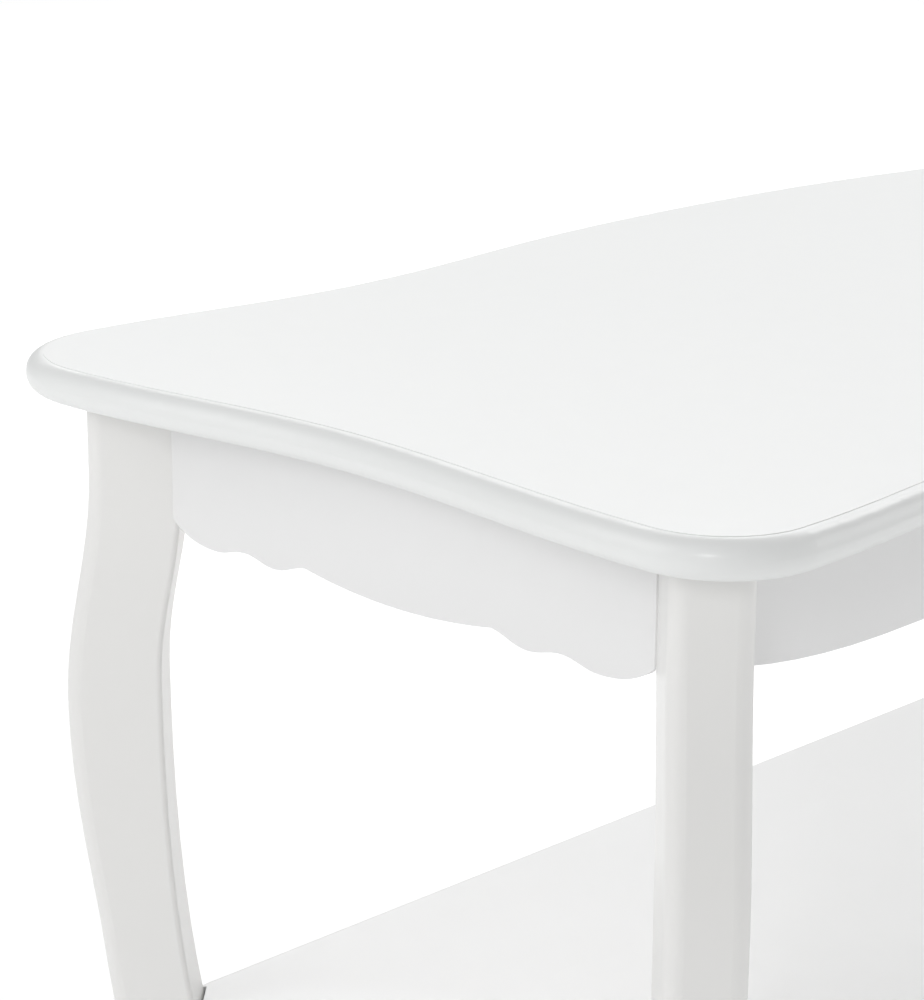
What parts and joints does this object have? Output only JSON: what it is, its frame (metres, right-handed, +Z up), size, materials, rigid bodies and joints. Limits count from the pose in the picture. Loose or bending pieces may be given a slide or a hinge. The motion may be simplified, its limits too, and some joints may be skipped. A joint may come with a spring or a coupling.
{
  "type": "console table",
  "caption": "White console table with a serpentine top, scalloped aprons, cabriole legs set on the diagonal and a fixed shelf between them.",
  "frame": {"origin": "on the floor, under the middle of the top", "axes": "+X along the length, +Y from the front to the back, +Z up"},
  "size_m": [1.1, 0.516, 0.75],
  "materials": {
    "painted_top": "white satin lacquer on MDF",
    "painted_shelf": "white satin lacquer on MDF",
    "painted_apron": "white satin lacquer on MDF",
    "painted_leg": "white satin lacquer on laminated board",
    "raw_wood": "sawn pine, unpainted",
    "beech": "turned beech, unpainted",
    "zinc_steel": "bright zinc plate",
    "glide_plastic": "moulded matte"
  },
  "bodies": {
    "root": {"tabletop": "painted_top", "shelf": "painted_shelf", "end_apron_left": "painted_apron", "end_apron_right": "painted_apron", "long_apron_front": "painted_apron", "long_apron_rear": "painted_apron", "leg_front_left": "painted_leg", "corner_block_front_left": "raw_wood", "leg_front_right": "painted_leg", "corner_block_front_right": "raw_wood", "leg_rear_left": "painted_leg", "corner_block_rear_left": "raw_wood", "leg_rear_right": "painted_leg", "corner_block_rear_right": "raw_wood", "hanger_bolts": "zinc_steel", "hanger_washers": "zinc_steel", "hanger_nuts": "zinc_steel", "block_screws": "zinc_steel", "top_screws": "zinc_steel", "top_brackets": "zinc_steel", "bracket_screws": "zinc_steel", "shelf_cam_bolts": "zinc_steel", "shelf_cam_locks": "zinc_steel", "glide_nails": "zinc_steel", "apron_dowels": "beech", "shelf_dowels": "beech", "foot_glides": "glide_plastic"}
  },
  "joints": []
}
